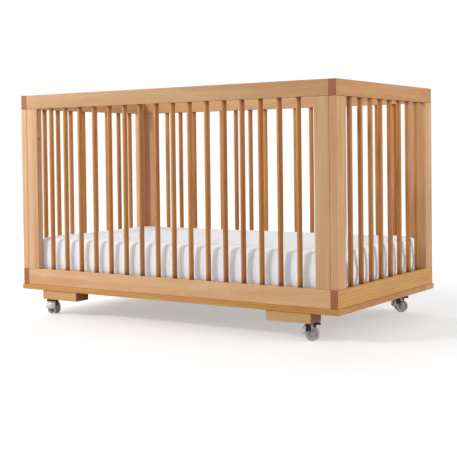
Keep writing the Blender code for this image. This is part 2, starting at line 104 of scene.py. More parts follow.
def roundedBox(low, high, radius, steps=3, spacing=None):
    # A box whose edges are quarter circles: each point of a cube's grid is moved to the inner box's
    # nearest point plus the radius in the direction away from it.
    low, high = np.asarray(low, float), np.asarray(high, float)
    centre, half = (low + high) / 2, (high - low) / 2
    inner = half - radius
    turn = radius * np.tan(np.linspace(0, math.pi / 4, steps + 1))
    stops = []
    for size in inner:
        count = max(2, round(2 * size / spacing) + 1) if spacing else 2
        middle = np.linspace(-size, size, count)
        stops.append(np.concatenate([-size - turn[:0:-1], middle, size + turn[1:]]))
    points, quads, start = [], [], 0
    for axis in range(3):
        b, c = (axis + 1) % 3, (axis + 2) % 3
        rows, columns = len(stops[b]), len(stops[c])
        for side in (-1, 1):
            u, v = np.meshgrid(stops[b], stops[c], indexing="ij")
            face = np.empty((u.size, 3))
            face[:, axis], face[:, b], face[:, c] = side * half[axis], u.ravel(), v.ravel()
            i, j = np.meshgrid(np.arange(rows - 1), np.arange(columns - 1), indexing="ij")
            corner = i * columns + j
            quad = np.stack([corner, corner + columns, corner + columns + 1, corner + 1], -1).reshape(-1, 4)
            points.append(face)
            quads.append(start + (quad if side > 0 else quad[:, ::-1]))
            start += len(face)
    points, quads = np.concatenate(points), np.concatenate(quads)
    first, index = np.unique(np.round(points, 6), axis=0, return_index=True, return_inverse=True)[1:]
    points, quads = points[first], index.reshape(-1)[quads]
    core = np.clip(points, -inner, inner)
    return centre + core + radius * unit(points - core), quads


def roundedPlan(points, corner):
    # Each square corner of a plan becomes a quarter disc: a point beyond the corner keeps the larger
    # of its two distances as its distance from the disc's middle.
    core = np.clip(points[:, :2], -corner, corner)
    away = points[:, :2] - core
    points[:, :2] = core + unit(away) * np.abs(away).max(1)[:, None]


def turned(profile, steps):
    # a profile of (radius, height) points carried round the Z axis
    profile = np.asarray(profile, float)
    angle = np.linspace(0, 2 * math.pi, steps, endpoint=False)
    points = np.stack([
        np.outer(profile[:, 0], np.cos(angle)),
        np.outer(profile[:, 0], np.sin(angle)),
        np.repeat(profile[:, 1:2], steps, 1),
    ], -1).reshape(-1, 3)
    return points, gridFaces(len(profile), steps)


def cleanMesh(mesh):
    # merges the points that a pole or a seam repeats, and turns the faces outwards
    shape = bmesh.new()
    shape.from_mesh(mesh)
    bmesh.ops.remove_doubles(shape, verts=shape.verts, dist=pointMerge)
    bmesh.ops.dissolve_degenerate(shape, dist=pointMerge / 10, edges=shape.edges)
    bmesh.ops.recalc_face_normals(shape, faces=shape.faces)
    shape.to_mesh(mesh)
    shape.free()
    return mesh


# Shader helpers

def plug(tree, socket, value):
    if isinstance(value, bpy.types.NodeSocket):
        tree.links.new(value, socket)
    else:
        socket.default_value = value


def node(tree, kind, sockets=None, **settings):
    made = tree.nodes.new("ShaderNode" + kind)
    for key, value in settings.items():
        setattr(made, key, value)
    for key, value in (sockets or {}).items():
        plug(tree, made.inputs[key], value)
    return made


def maths(tree, operation, a, b=0.0, c=0.0):
    return node(tree, "Math", {0: a, 1: b, 2: c}, operation=operation).outputs[0]


def vectorMaths(tree, operation, a, b=(0, 0, 0)):
    made = node(tree, "VectorMath", {0: a, 1: b}, operation=operation)
    return made.outputs["Value" if operation == "LENGTH" else "Vector"]


def mixColour(tree, factor, a, b):
    # sockets 6 and 7 are the two colours, and output 2 is their mix
    return node(tree, "Mix", {0: factor, 6: a, 7: b}, data_type="RGBA").outputs[2]


def fade(tree, value, low, high, outLow=0.0, outHigh=1.0):
    return node(tree, "MapRange", {0: value, 1: low, 2: high, 3: outLow, 4: outHigh}).outputs[0]


def noise(tree, place, stretch, detail, roughness=0.5, distortion=0.0):
    return node(tree, "TexNoise", {
        "Vector": vectorMaths(tree, "MULTIPLY", place, stretch),
        "Scale": 1.0, "Detail": detail, "Roughness": roughness, "Distortion": distortion,
    }).outputs[0]


def split(tree, vector):
    return node(tree, "SeparateXYZ", {0: vector}).outputs


def newGroup(name, inputs, outputs):
    group = bpy.data.node_groups.new(name, "ShaderNodeTree")
    for label, value in inputs.items():
        kind = "NodeSocketVector" if value is None else "NodeSocketFloat"
        socket = group.interface.new_socket(name=label, in_out="INPUT", socket_type=kind)
        if value is not None:
            socket.default_value = value
    for label, kind in outputs.items():
        group.interface.new_socket(name=label, in_out="OUTPUT", socket_type="NodeSocket" + kind)
    return group, group.nodes.new("NodeGroupInput").outputs, group.nodes.new("NodeGroupOutput").inputs


def newMaterial(name, **fixed):
    material = bpy.data.materials.new(name)
    material.use_nodes = True
    tree = material.node_tree
    shader = tree.nodes["Principled BSDF"]
    for key, value in fixed.items():
        shader.inputs[key].default_value = value
    return material, tree, shader


def bumped(tree, shader, height, distance, strength):
    bump = node(tree, "Bump", {"Height": height, "Distance": distance, "Strength": strength})
    tree.links.new(bump.outputs[0], shader.inputs["Normal"])


def srgb(r, g, b):
    # screen values from 0 to 255 as linear light
    linear = [((c / 255 + 0.055) / 1.055) ** 2.4 if c > 10 else c / 255 / 12.92 for c in (r, g, b)]
    return (*linear, 1.0)


# Wood. Its coordinates are (along the grain, through the board, across the board).

woodLook = {
    "light": srgb(226, 184, 136),
    "middle": srgb(207, 154, 102),
    "dark": srgb(160, 100, 52),
    "rose": srgb(208, 148, 98),
    "endLight": srgb(186, 116, 74),
    "endDark": srgb(136, 78, 44),
    # joint: the colour of the painted shade where the slats meet the rails and strips
    "joint": srgb(74, 34, 12),
    "ringSpacing": 0.0052,
    "ringStretch": 0.10,
    "seedStep": 17.3,
    "hueStep": 31.7,
    "brightnessLean": 0.14,  # how far staves differ in brightness and hue
    "hueLean": 0.008,
    "patchHue": 0.030,  # how far patches in a board differ in hue
    "hue": 0.4985,
    "roughness": 0.32,
    "fibreRoughness": 0.16,
    "endRoughness": 0.16,
    "bumpHeight": 0.0003,
    "coat": 0.06,
    "coatRoughness": 0.28,
    "gloss": 0.32,
}

# scale along the grain and across it, detail, roughness and distortion of each noise
woodNoises = {
    "figure": (1.6, 24.0, 4.0, 0.55, 0.4),
    "fibre": (14.0, 620.0, 2.0, 0.6, 0.0),
    "pores": (95.0, 1500.0, 1.0, 0.5, 0.0),
    "blush": (2.4, 9.0, 2.0, 0.5, 0.0),
    "patches": (9.0, 34.0, 2.0, 0.5, 0.0),
    "speck": (1.0, 900.0, 2.0, 0.7, 0.0),
}

# how far a stave's wood moves along, through and across the board: by stave, by seed and always
woodShifts = [(3.7, 5.3, 0.0), (0.021, 0.0, 0.055), (0.060, 0.013, 0.0)]

# colours laid in turn over the light wood: the pattern, where it starts and is full, its share, the colour
woodLayers = [
    ("figure", 0.30, 0.72, 1.0, "middle"),
    ("blush", 0.42, 0.75, 0.5, "rose"),
    ("rings", 0.35, 1.0, 0.22, "dark"),
    ("fibre", 0.40, 0.75, 0.22, "dark"),
    ("pores", 0.60, 0.72, 0.30, "dark"),
]
endLayers = [("rings", 0.2, 1.0, 1.0, "endDark"), ("speck", 0.45, 0.75, 0.55, "endDark")]

# how much each pattern raises the surface
woodRelief = {"rings": -0.18, "fibre": 0.55, "pores": -0.35, "speck": 0.5}


def makeWoodGroup():
    group, given, result = newGroup(
        "honeyWood",
        {"Place": None, "Facing": None, "Seed": 0.0, "Stave Width": 0.5, "Tone": 0.0, "Saturation": 1.0,
         "Warmth": 0.0, "Variety": 1.0, "End Grain": 1.0, "Painted Shade": 0.0},
        {"Colour": "Color", "Roughness": "Float", "Height": "Float"},
    )
    seed, variety = given["Seed"], given["Variety"]

    # each stave, a strip glued to its neighbour, comes from another part of the tree
    acrossBoard = split(group, given["Place"])[2]
    stave = maths(group, "FLOOR", maths(group, "DIVIDE", acrossBoard, given["Stave Width"]))
    staveKey = maths(group, "MULTIPLY_ADD", seed, woodLook["seedStep"], stave)
    staveTone = node(group, "TexWhiteNoise", {"W": staveKey}, noise_dimensions="1D").outputs[0]
    hueKey = maths(group, "ADD", staveKey, woodLook["hueStep"])
    hueTone = node(group, "TexWhiteNoise", {"W": hueKey}, noise_dimensions="1D").outputs[0]
    shift = [
        maths(group, "MULTIPLY_ADD", staveTone, byStave, maths(group, "MULTIPLY_ADD", seed, bySeed, always))
        for byStave, bySeed, always in woodShifts
    ]
    shifted = node(group, "CombineXYZ", dict(enumerate(shift))).outputs[0]
    spot = vectorMaths(group, "ADD", given["Place"], shifted)

    # growth rings round a pith well outside the board, drawn out along the grain
    patterns = {"rings": node(group, "TexWave", {
        "Vector": vectorMaths(group, "MULTIPLY", spot, (woodLook["ringStretch"], 1.0, 1.0)),
        "Scale": 2 * math.pi / (20 * woodLook["ringSpacing"]),
        "Distortion": 3.2, "Detail": 3.0, "Detail Scale": 0.35, "Detail Roughness": 0.6,
    }, wave_type="RINGS", rings_direction="X", wave_profile="SAW").outputs[1]}
    for label, (along, across, *shape) in woodNoises.items():
        patterns[label] = noise(group, spot, (along, across, across), *shape)

    def layered(colour, layers):
        for label, low, high, share, over in layers:
            mask = fade(group, patterns[label], low, high, 0.0, share)
            colour = mixColour(group, mask, colour, woodLook[over])
        return colour

    # brightness = 1 + lean + tone, and hue = the wood's hue + lean + patches - warmth
    lean = maths(group, "MULTIPLY", maths(group, "SUBTRACT", staveTone, 0.5), variety)
    brightness = maths(group, "ADD", maths(group, "MULTIPLY_ADD", lean, woodLook["brightnessLean"], 1.0),
                       given["Tone"])
    hueLean = maths(group, "MULTIPLY", maths(group, "SUBTRACT", hueTone, 0.5), variety)
    patches = maths(group, "MULTIPLY_ADD", patterns["patches"], woodLook["patchHue"],
                    woodLook["hue"] - woodLook["patchHue"] / 2)
    hue = maths(group, "MULTIPLY_ADD", hueLean, woodLook["hueLean"], patches)
    long = node(group, "HueSaturation", {
        "Hue": maths(group, "SUBTRACT", hue, given["Warmth"]), "Saturation": given["Saturation"],
        "Value": brightness, "Color": layered(woodLook["light"], woodLayers),
    }).outputs[0]

    # sawn end: the rings show as arcs and the open pores drink the finish
    facingAlong = maths(group, "ABSOLUTE", split(group, given["Facing"])[0])
    endMask = maths(group, "MULTIPLY", fade(group, facingAlong, 0.70, 0.92), given["End Grain"])
    colour = mixColour(group, endMask, long, layered(woodLook["endLight"], endLayers))
    # painted shade darkens the slats towards their ends, where the rails and strips shade them
    plug(group, result["Colour"], mixColour(group, given["Painted Shade"], colour, woodLook["joint"]))

    rough = maths(group, "MULTIPLY_ADD", patterns["fibre"], woodLook["fibreRoughness"], woodLook["roughness"])
    plug(group, result["Roughness"], maths(group, "MULTIPLY_ADD", endMask, woodLook["endRoughness"], rough))
    patterns["pores"] = fade(group, patterns["pores"], 0.60, 0.72)
    patterns["speck"] = maths(group, "MULTIPLY", patterns["speck"], endMask)
    height = 0.0
    for label, share in woodRelief.items():
        height = maths(group, "MULTIPLY_ADD", patterns[label], share, height)
    plug(group, result["Height"], height)
    return group


woodGroup = makeWoodGroup()


def woodMaterial(name, along, across, seed=0.0, perSlat=False, **look):
    # along and across are the grain's and the width's axes, as 0, 1 or 2 for X, Y or Z
    material, tree, shader = newMaterial(name, **{
        "Coat Weight": woodLook["coat"], "Coat Roughness": woodLook["coatRoughness"],
        "Specular IOR Level": woodLook["gloss"],
    })
    coordinates = node(tree, "TexCoord").outputs
    inputs = {"Seed": seed, **look}
    for label, source in (("Place", coordinates["Object"]), ("Facing", coordinates["Normal"])):
        parts = split(tree, source)
        through = 3 - along - across
        turnedTo = node(tree, "CombineXYZ", {0: parts[along], 1: parts[through], 2: parts[across]})
        inputs[label] = turnedTo.outputs[0]
    if perSlat:
        inputs["Seed"] = node(tree, "Attribute", attribute_name="slatSeed").outputs["Fac"]
        # the painted shade near the slats' ends
        inputs["Painted Shade"] = node(tree, "Attribute", attribute_name="paintedShade").outputs["Fac"]
    wood = node(tree, "Group", node_tree=woodGroup)
    for label, value in inputs.items():
        plug(tree, wood.inputs[label], value)
    plug(tree, shader.inputs["Base Color"], wood.outputs["Colour"])
    plug(tree, shader.inputs["Roughness"], wood.outputs["Roughness"])
    bumped(tree, shader, wood.outputs["Height"], woodLook["bumpHeight"], 0.5)
    return material


# Boards: grain axis, width axis, and what sets each board's wood apart

boardStyle = {
    "edgeRadius": 0.0018, "edgeSteps": 3, "boltHoleMargin": 0.0006, "boltHoleDepth": 0.0063, "firstSeed": 0.4,
    "seedStep": 1.37,
}

boardKinds = {
    "front_top_rail": (0, 2, {"Tone": -0.11}),
    "back_top_rail": (0, 2, {"Tone": -0.04}),
    "left_top_rail": (1, 2, {}),
    "right_top_rail": (1, 2, {"Tone": -0.05, "Saturation": 1.06}),
    "front_bottom_rail": (0, 2, {"Tone": 0.05, "Saturation": 0.96}),
    "back_bottom_rail": (0, 2, {}),
    "left_bottom_rail": (1, 2, {}),
    "right_bottom_rail": (1, 2, {"Tone": -0.05, "Saturation": 1.12}),
    "front_plinth_board": (0, 1, {"Tone": -0.10, "Saturation": 1.16, "End Grain": 0.0}),
    "back_plinth_board": (0, 1, {"Tone": -0.10, "End Grain": 0.0}),
    "left_plinth_board": (1, 0, {"Tone": -0.10, "End Grain": 0.0}),
    "right_plinth_board": (1, 0, {"Tone": -0.06, "Saturation": 1.10, "End Grain": 0.0}),
    "front_support_cleat": (0, 1, {"Tone": -0.13, "Saturation": 1.06}),
    "back_support_cleat": (0, 1, {"Tone": -0.13, "Saturation": 1.06}),
}
for corner in ("front_left", "front_right", "back_left", "back_right"):
    boardKinds[corner + "_long_stile"] = (2, 0, {"Stave Width": 0.022, "Tone": 0.02, "Saturation": 0.95})
    boardKinds[corner + "_end_stile"] = (2, 1, {"Stave Width": 0.022, "Tone": 0.04, "Saturation": 0.97})
    boardKinds[corner + "_foot"] = (0, 1, {"End Grain": 0.8})


def cutRound(piece, low, high, radius, y, z):
    # a round hole from low to high along X, cut for good
    place = Matrix.Translation(((low + high) / 2, y, z)) @ Matrix.Rotation(math.pi / 2, 4, "Y")
    cutter = bmesh.new()
    bmesh.ops.create_cone(cutter, cap_ends=True, segments=32, radius1=radius, radius2=radius,
                          depth=high - low, matrix=place)
    mesh = bpy.data.meshes.new("hole")
    cutter.to_mesh(mesh)
    cutter.free()
    tool = bpy.data.objects.new("hole", mesh)
    bpy.context.scene.collection.objects.link(tool)
    cut = piece.modifiers.new("hole", "BOOLEAN")
    cut.operation, cut.object, cut.solver = "DIFFERENCE", tool, "EXACT"
    bpy.context.view_layer.update()
    done = bpy.data.meshes.new_from_object(piece.evaluated_get(bpy.context.evaluated_depsgraph_get()))
    piece.modifiers.remove(cut)
    old = piece.data
    piece.data = done
    bpy.data.meshes.remove(old)
    bpy.data.objects.remove(tool)


def cutBoltHole(piece, name, low, high):
    # the counterbore opens in the stile's inner edge
    boltLow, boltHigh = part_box(name.replace("long_stile", "corner_bolt"))
    middle = (boltLow + boltHigh) / 2
    radius = (boltHigh.z - boltLow.z) / 2 + boardStyle["boltHoleMargin"]
    past = 0.01
    if middle.x > 0:
        ends = (low.x - past, boltLow.x + boardStyle["boltHoleDepth"])
    else:
        ends = (boltHigh.x - boardStyle["boltHoleDepth"], high.x + past)
    cutRound(piece, *ends, radius, middle.y, middle.z)


for index, (name, (along, across, look)) in enumerate(boardKinds.items()):
    low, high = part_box(name)
    points, quads = roundedBox(low, high, boardStyle["edgeRadius"], boardStyle["edgeSteps"])
    seed = index * boardStyle["seedStep"] + boardStyle["firstSeed"]
    material = woodMaterial(name + " wood", along, across, seed, **look)
    piece = addPiece(name + "_board", newMesh(name, points, quads), material, "crib_frame", [name])
    if name.endswith("long_stile"):
        cutBoltHole(piece, name, low, high)
    keepFlats(piece)
print("boards made")

deck = frame["nodes"]["mattress_deck"]
deck.data.materials.clear()
deck.data.materials.append(woodMaterial("deck plywood", 0, 1, 91.3, Tone=0.06))


# Slats, each bank with the fillet strips between its slats

slatStyle = {
    "radius": 0.009, "chamfer": 0.0005, "sides": 32, "strip": 0.0075, "stripRadius": 0.0004, "bare": 0.003,
    "longTone": -0.11, "endTone": -0.20, "saturation": 1.18, "warmth": 0.008, "variety": 1.6,
    # shade, topShade and bottomShade: strength and reach of the painted shade at the slats' ends
    "shade": 0.85, "topShade": 0.007, "bottomShade": 0.016,
    "firstSeed": 0.3, "seedStep": 0.731, "seedsPerBank": 11, "stripSeed": 50.0,
    "near": (0.0005, 0.005, 0.008, 0.012, 0.018, 0.026, 0.036),  # rings near each end, for the shade
}

banks = {
    "front_left_slats": 0, "front_right_slats": 0, "back_left_slats": 0, "back_right_slats": 0,
    "left_end_slats": 1, "right_end_slats": 1,
}


def slatPlaces(name, along, low, high):
    # the slats' middles along the rail, from the points where they leave the lower strip
    across, apart = 1 - along, 0.02
    verts = np.array([v.co for v in frame["nodes"][name].data.vertices])
    atStrip = np.abs(verts[:, 2] - low[2] - slatStyle["strip"]) < 0.0004
    onSlat = np.abs(verts[:, across] - (low[across] + high[across]) / 2) < slatStyle["radius"] + 0.0002
    ring = np.sort(np.unique(np.round(verts[atStrip & onSlat, along], 4)))
    ring = ring[(ring > low[along] + apart) & (ring < high[along] - apart)]
    groups = np.split(ring, np.where(np.diff(ring) > apart)[0] + 1)
    return [float((group.min() + group.max()) / 2) for group in groups]


def dowel(x, y, bottom, top):
    radius, near = slatStyle["radius"], np.array(slatStyle["near"])
    levels = np.concatenate([bottom + near, top - near[::-1]])
    shaft = np.stack([np.full(len(levels), radius), levels], 1)
    flat = radius - slatStyle["chamfer"]
    profile = np.concatenate([[(0, bottom), (flat, bottom)], shaft, [(flat, top), (0, top)]])
    points, quads = turned(profile, slatStyle["sides"])
    return points + (x, y, 0), quads


def slatBank(name, bankIndex, along):
    low, high = (np.array(corner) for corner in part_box(name))
    strip, centre = slatStyle["strip"], (low[1 - along] + high[1 - along]) / 2
    shapes, seeds = [], []
    for i, place in enumerate(slatPlaces(name, along, low, high)):
        x, y = (place, centre) if along == 0 else (centre, place)
        shapes.append(dowel(x, y, low[2] + slatStyle["bare"], high[2] - slatStyle["bare"]))
        number = bankIndex * slatStyle["seedsPerBank"] + i
        seeds.append(number * slatStyle["seedStep"] + slatStyle["firstSeed"])
    print(name, len(shapes), "slats")
    for bottom in (low[2], high[2] - strip):
        ends = (low[0], low[1], bottom), (high[0], high[1], bottom + strip)
        shapes.append(roundedBox(*ends, slatStyle["stripRadius"], 1))
        seeds.append(slatStyle["stripSeed"] + bankIndex)
    points, quads = joined(shapes)
    mesh = newMesh(name, points, quads)
    seed = mesh.attributes.new("slatSeed", "FLOAT", "POINT")
    seed.data.foreach_set("value", np.repeat(seeds, [len(shape[0]) for shape in shapes]))
    # painted shade on the slats near the rail above and the strip below: share = shade * e ^ (-distance from
    # the strip / reach)
    distance = np.minimum(points[:, 2] - (low[2] + strip), (high[2] - strip) - points[:, 2])
    upper = points[:, 2] > (low[2] + high[2]) / 2
    reach = np.where(upper, slatStyle["topShade"], slatStyle["bottomShade"])
    shade = mesh.attributes.new("paintedShade", "FLOAT", "POINT")
    shade.data.foreach_set("value", slatStyle["shade"] * np.exp(-np.maximum(distance, 0) / reach))
    return cleanMesh(mesh)


for bankIndex, (name, along) in enumerate(banks.items()):
    material = woodMaterial(name + " wood", 2, along, perSlat=True, **{
        "Tone": slatStyle["endTone" if along else "longTone"], "Saturation": slatStyle["saturation"],
        "Warmth": slatStyle["warmth"], "Variety": slatStyle["variety"],
    })
    bank = slatBank(name, bankIndex, along)
    keepFlats(addPiece(name + "_turned", bank, material, "crib_frame", [name]))
print("slats made")


# Mattress in its fitted sheet

# glow and brightener: painted light, a faint bluish glow that brightens the sheet beyond what the lamps give
sheetLook = {
    "colour": srgb(243, 244, 246), "shade": srgb(232, 235, 240), "paintedGlow": 0.17,
    "glow": (0.72, 0.88, 1.0, 1.0), "threadPitch": 0.0006, "slubScale": 55.0,
}
mattressStyle = {
    "spacing": 0.011, "edgeRadius": 0.011, "cornerRadius": 0.055, "inset": -0.003, "tuck": 0.016,
    "tuckFrom": 0.4, "sideCrown": 0.007, "topCrown": 0.003, "pleat": 0.0022, "pleatWaves": 9,
    "leastWave": 12, "mostWave": 60, "seed": 7,
}
clothStyle = {"frames": 18, "cap": 0.005, "pressure": 2.5, "shrink": -0.012, "bending": 0.2, "quality": 6}


def makeSheetMaterial():
    # the sheet's emission is painted light that lifts the cloth towards white
    material, tree, shader = newMaterial("white percale", **{
        "Roughness": 0.85, "Sheen Weight": 0.25, "Sheen Roughness": 0.5,
        "Emission Color": sheetLook["glow"], "Emission Strength": sheetLook["paintedGlow"],
    })
    coordinates = node(tree, "TexCoord").outputs
    turns = 2 * math.pi / sheetLook["threadPitch"]
    threads = [maths(tree, "SINE", maths(tree, "MULTIPLY", part, turns))
               for part in split(tree, coordinates["Object"])]
    facing = coordinates["Normal"]
    weights = split(tree, vectorMaths(tree, "MULTIPLY", facing, facing))
    # on each of the three planes two sets of threads cross
    weave = 0.0
    for i in range(3):
        crossing = maths(tree, "MULTIPLY", threads[(i + 1) % 3], threads[(i + 2) % 3])
        weave = maths(tree, "MULTIPLY_ADD", crossing, weights[i], weave)
    slub = noise(tree, coordinates["Object"], [sheetLook["slubScale"]] * 3, 4.0, 0.6)
    colour = mixColour(tree, fade(tree, slub, 0.35, 0.7), sheetLook["colour"], sheetLook["shade"])
    plug(tree, shader.inputs["Base Color"], colour)
    height = maths(tree, "MULTIPLY_ADD", slub, 0.6, maths(tree, "MULTIPLY", weave, 0.25))
    bumped(tree, shader, height, 0.0004, 0.5)
    return material


def mattressShape(style):
    low, high = (np.array(corner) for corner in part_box("mattress"))
    low[:2] += style["inset"]
    high[:2] -= style["inset"]
    points, quads = roundedBox(low, high, style["edgeRadius"], spacing=style["spacing"])
    centre, half = (low + high) / 2, (high - low) / 2
    p = points - centre
    corner = half[:2] - style["cornerRadius"]
    roundedPlan(p, corner)
    # the sides swell between the edges, with soft upright pleats that open towards the bottom
    level = p[:, 2] / half[2]
    outward = p[:, :2] - np.clip(p[:, :2], -corner, corner)
    direction = unit(outward)
    fromCore = np.linalg.norm(outward, axis=1) - style["cornerRadius"]
    onSide = np.clip(1 + fromCore / style["edgeRadius"], 0, 1)
    random = np.random.default_rng(style["seed"])
    along = p[:, 0] * np.abs(direction[:, 1]) + p[:, 1] * np.abs(direction[:, 0])
    pleats = np.zeros(len(p))
    for wave in random.uniform(style["leastWave"], style["mostWave"], style["pleatWaves"]):
        pleats += np.sin(wave * along + random.uniform(0, 6.28)) / math.sqrt(style["pleatWaves"])
    swell = style["sideCrown"] * (1 - level ** 2)
    swell += style["pleat"] * pleats * np.clip(0.5 - 0.5 * level, 0, 1) ** 2
    swell -= style["tuck"] * np.clip((-level - style["tuckFrom"]) / (1 - style["tuckFrom"]), 0, 1) ** 2
    p[:, :2] += direction * (onSide * swell)[:, None]
    # the top is a little higher in its middle: crown * (1 - x ^ 4) * (1 - y ^ 4)
    flat = np.clip(1 - np.abs(p[:, :2] / half[:2]) ** 4, 0, 1).prod(1)
    p[:, 2] += np.where(level > 0.98, style["topCrown"] * flat, 0)
    return p + centre, quads


def pointsOf(mesh):
    points = np.empty(len(mesh.vertices) * 3)
    mesh.vertices.foreach_get("co", points)
    return points.reshape(-1, 3)


def settleCloth(piece, style):
    # the sheet swells a little over the foam, and no point moves further than the cap
    scene = bpy.context.scene
    before = pointsOf(piece.data)
    cloth = piece.modifiers.new("sheet", "CLOTH")
    cloth.settings.use_pressure = True
    cloth.settings.uniform_pressure_force = style["pressure"]
    cloth.settings.effector_weights.gravity = 0
    cloth.settings.shrink_min = style["shrink"]
    cloth.settings.bending_stiffness = style["bending"]
    cloth.settings.quality = style["quality"]
    scene.frame_start, scene.frame_end = 1, style["frames"]
    for step in range(1, style["frames"] + 1):
        scene.frame_set(step)
    graph = bpy.context.evaluated_depsgraph_get()
    after = pointsOf(bpy.data.meshes.new_from_object(piece.evaluated_get(graph)))
    piece.modifiers.remove(cloth)
    scene.frame_set(1)
    move = after - before
    far = np.linalg.norm(move, axis=1)
    print("sheet moved by up to", round(float(far.max()), 4), "m, mean", round(float(far.mean()), 4))
    move *= (style["cap"] * np.tanh(far / style["cap"]) / np.maximum(far, 1e-9))[:, None]
    piece.data.vertices.foreach_set("co", (before + move).ravel())
    piece.data.update()


mattress = addPiece("mattress_in_sheet", newMesh("mattress sheet", *mattressShape(mattressStyle)),
                    makeSheetMaterial(), "mattress", ["mattress"])
settleCloth(mattress, clothStyle)
smoothing = mattress.modifiers.new("smooth", "SUBSURF")
smoothing.levels = smoothing.render_levels = 1
print("mattress made")


# Casters

casterLook = {
    "black": srgb(38, 37, 38), "blackGrain": srgb(52, 50, 50), "grainScale": 900.0,
    "steel": srgb(176, 176, 178), "steelStreak": srgb(205, 205, 206),
    "clear": srgb(236, 226, 228), "haze": srgb(214, 212, 214), "hazeScale": 320.0,
    "wheelTransmission": 0.42, "hoodTransmission": 0.12,
}


def blackPlastic():
    material, tree, shader = newMaterial("black plastic", Roughness=0.42)
    grain = noise(tree, node(tree, "TexCoord").outputs["Object"], [casterLook["grainScale"]] * 3, 2.0)
    colour = mixColour(tree, grain, casterLook["black"], casterLook["blackGrain"])
    plug(tree, shader.inputs["Base Color"], colour)
    bumped(tree, shader, grain, 0.0002, 0.3)
    return material


def brightSteel():
    material, tree, shader = newMaterial("bright steel", Metallic=1.0)
    streaks = noise(tree, node(tree, "TexCoord").outputs["Object"], (900.0, 900.0, 120.0), 2.0)
    colour = mixColour(tree, streaks, casterLook["steel"], casterLook["steelStreak"])
    plug(tree, shader.inputs["Base Color"], colour)
    plug(tree, shader.inputs["Roughness"], fade(tree, streaks, 0.2, 0.8, 0.22, 0.42))
    return material


def clearPlastic(name, transmission):
    material, tree, shader = newMaterial(name, **{"Transmission Weight": transmission, "IOR": 1.49})
    haze = noise(tree, node(tree, "TexCoord").outputs["Object"], [casterLook["hazeScale"]] * 3, 3.0)
    colour = mixColour(tree, fade(tree, haze, 0.4, 0.8), casterLook["clear"], casterLook["haze"])
    plug(tree, shader.inputs["Base Color"], colour)
    plug(tree, shader.inputs["Roughness"], fade(tree, haze, 0.3, 0.8, 0.06, 0.22))
    return material


black, steel = blackPlastic(), brightSteel()
clear = clearPlastic("clear plastic", casterLook["wheelTransmission"])
frosted = clearPlastic("frosted plastic", casterLook["hoodTransmission"])


def casterFrame(corner):
    # the swivel axis on the floor, the direction of trail, the axle's direction and its middle
    low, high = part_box(corner + "_caster_plate")
    axis = (low + high) / 2
    spin = next(joint for joint in frame["joints"] if joint["name"] == corner + "_left_wheel_spin")
    across = np.array(spin["axis"])
    trail = np.array([across[1], -across[0], 0.0])
    return np.array([axis.x, axis.y, 0.0]), trail, across, np.array(spin["pos_m"])


def placed(points, origin, trail, across):
    # local X along the trail, local Y along the axle, local Z up
    return origin + points[:, :1] * trail + points[:, 1:2] * across + points[:, 2:] * np.array([0, 0, 1.0])


plateStyle = {"edgeRadius": 0.0008, "cornerRadius": 0.005}


def plateShape(corner, style):
    low, high = (np.array(end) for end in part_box(corner + "_caster_plate"))
    points, quads = roundedBox(low, high, style["edgeRadius"], 2)
    centre, half = (low + high) / 2, (high - low) / 2
    points -= centre
    roundedPlan(points, half[:2] - style["cornerRadius"])
    return points + centre, quads


wheelStyle = {
    "radius": 0.0235, "width": 0.0125, "hub": 0.0078, "bore": 0.0034, "fromMiddle": 0.0055, "sides": 72,
    "ribs": 6, "ribWidth": 0.10, "ribHeight": 0.0026, "webDepth": 0.0039,
}


def wheelShape(style):
    # A closed profile carried round the axle: bore, outer hub, sunk web, rim, tread, rim and inner side.
    r, w, hub, bore = style["radius"], style["width"], style["hub"], style["bore"]
    points, quads = turned([
        (bore, 0.0004), (bore, w - 0.0004), (bore + 0.0004, w),
        (hub - 0.0006, w), (hub, w - 0.0006), (hub + 0.0003, w - 0.0045),
        ((hub + r - 0.006) / 2, w - 0.0048), (r - 0.0062, w - 0.0045),
        (r - 0.0055, w - 0.0006), (r - 0.0049, w), (r - 0.0030, w - 0.0001),
        (r - 0.0014, w - 0.0009), (r - 0.0004, w - 0.0022), (r, w - 0.0042),
        (r, 0.0042), (r - 0.0004, 0.0022), (r - 0.0014, 0.0009), (r - 0.0030, 0.0001),
        (r - 0.0060, 0.0010), (hub + 0.002, 0.0014), (hub, 0.0002), (bore + 0.0004, 0.0), (bore, 0.0004),
    ], style["sides"])
    # the web rises in ribs: height * e ^ -(distance from the rib in turns / rib width) ^ 4
    turns = np.arctan2(points[:, 1], points[:, 0]) * style["ribs"] / (2 * math.pi)
    rib = np.exp(-(np.abs((turns + 0.5) % 1 - 0.5) / style["ribWidth"]) ** 4)
    sunk = np.clip((w - 0.0006 - points[:, 2]) / style["webDepth"], 0, 1) * (points[:, 2] > w * 0.6)
    out = np.hypot(points[:, 0], points[:, 1])
    points[:, 2] += np.where((out > hub) & (out < r - 0.005), rib * sunk * style["ribHeight"], 0)
    return points, quads


hoodStyle = {
    "inner": 0.0264, "thickness": 0.0012, "halfWidth": 0.0196, "flank": 0.0105, "ease": 0.0003,
    "from": 70, "to": 190, "steps": 40, "back": 0.0065, "lift": 0.0045,
}


